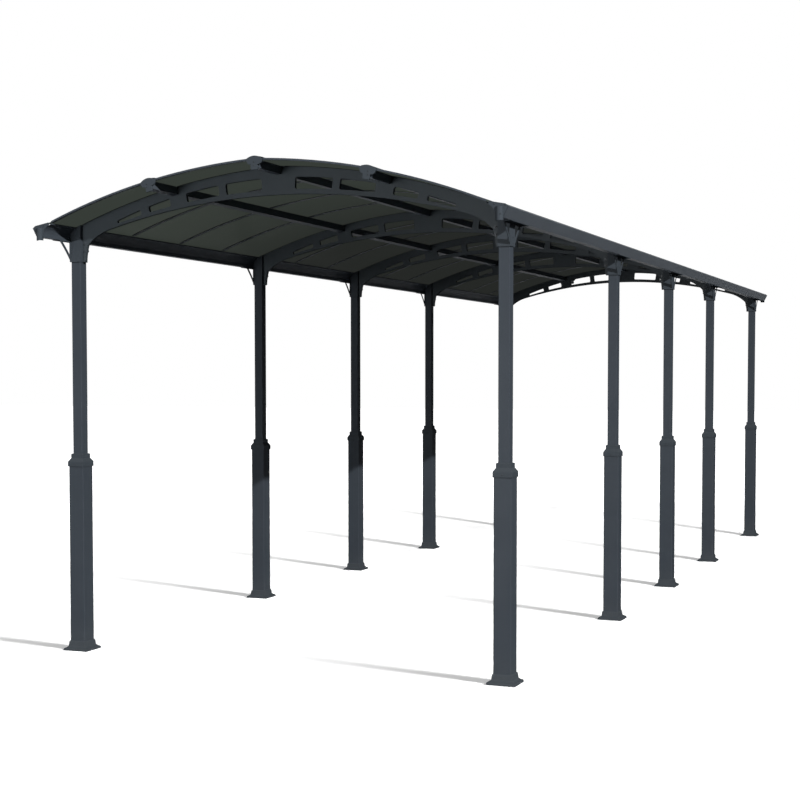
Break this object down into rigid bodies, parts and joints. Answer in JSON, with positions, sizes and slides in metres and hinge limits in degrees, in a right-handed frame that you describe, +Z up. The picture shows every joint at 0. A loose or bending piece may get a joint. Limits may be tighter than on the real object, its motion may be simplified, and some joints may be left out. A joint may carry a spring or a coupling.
{
  "type": "arched-roof carport",
  "caption": "Open carport with a shallow arched roof of tinted panels on slim trusses, eave gutters and two rows of square posts with thicker lower sleeves.",
  "frame": {"origin": "centre of the plan on the ground, under the middle pair of posts", "axes": "+Z up, +Y along the carport's length with the front gable at -Y, +X across to the right-hand row of posts seen from the front"},
  "size_m": [3.5192, 10.729, 3.451],
  "materials": {
    "post_coat": "anthracite powder coat on extruded aluminium, satin",
    "frame_coat": "anthracite powder coat on extruded aluminium, satin",
    "truss_steel": "anthracite powder coat on pressed steel, satin",
    "plate_steel": "zinc-plated steel plate, matt",
    "moulding": "anthracite moulded plastic, fine texture",
    "glazing": "smoke-tinted polycarbonate sheet"
  },
  "bodies": {
    "root": {"base_plates_left": "plate_steel", "base_plates_right": "plate_steel", "capitals_left": "moulding", "capitals_right": "moulding", "collars_left": "moulding", "collars_right": "moulding", "edge_trims_front": "frame_coat", "edge_trims_rear": "frame_coat", "foot_covers_left": "moulding", "foot_covers_right": "moulding", "glazing_bars_left_crown": "frame_coat", "glazing_bars_left_eave": "frame_coat", "glazing_bars_right_crown": "frame_coat", "glazing_bars_right_eave": "frame_coat", "gutter_caps_left": "moulding", "gutter_caps_right": "moulding", "gutter_left": "frame_coat", "gutter_right": "frame_coat", "post_left_1": "post_coat", "post_left_2": "post_coat", "post_left_3": "post_coat", "post_left_4": "post_coat", "post_left_5": "post_coat", "post_right_1": "post_coat", "post_right_2": "post_coat", "post_right_3": "post_coat", "post_right_4": "post_coat", "post_right_5": "post_coat", "purlin_caps_front": "moulding", "purlin_caps_rear": "moulding", "purlin_left": "frame_coat", "purlin_ridge": "frame_coat", "purlin_right": "frame_coat", "roof_panels_left_crown": "glazing", "roof_panels_left_eave": "glazing", "roof_panels_right_crown": "glazing", "roof_panels_right_eave": "glazing", "sleeves_left": "post_coat", "sleeves_right": "post_coat", "truss_1": "truss_steel", "truss_2": "truss_steel", "truss_3": "truss_steel", "truss_4": "truss_steel", "truss_5": "truss_steel"}
  },
  "joints": []
}
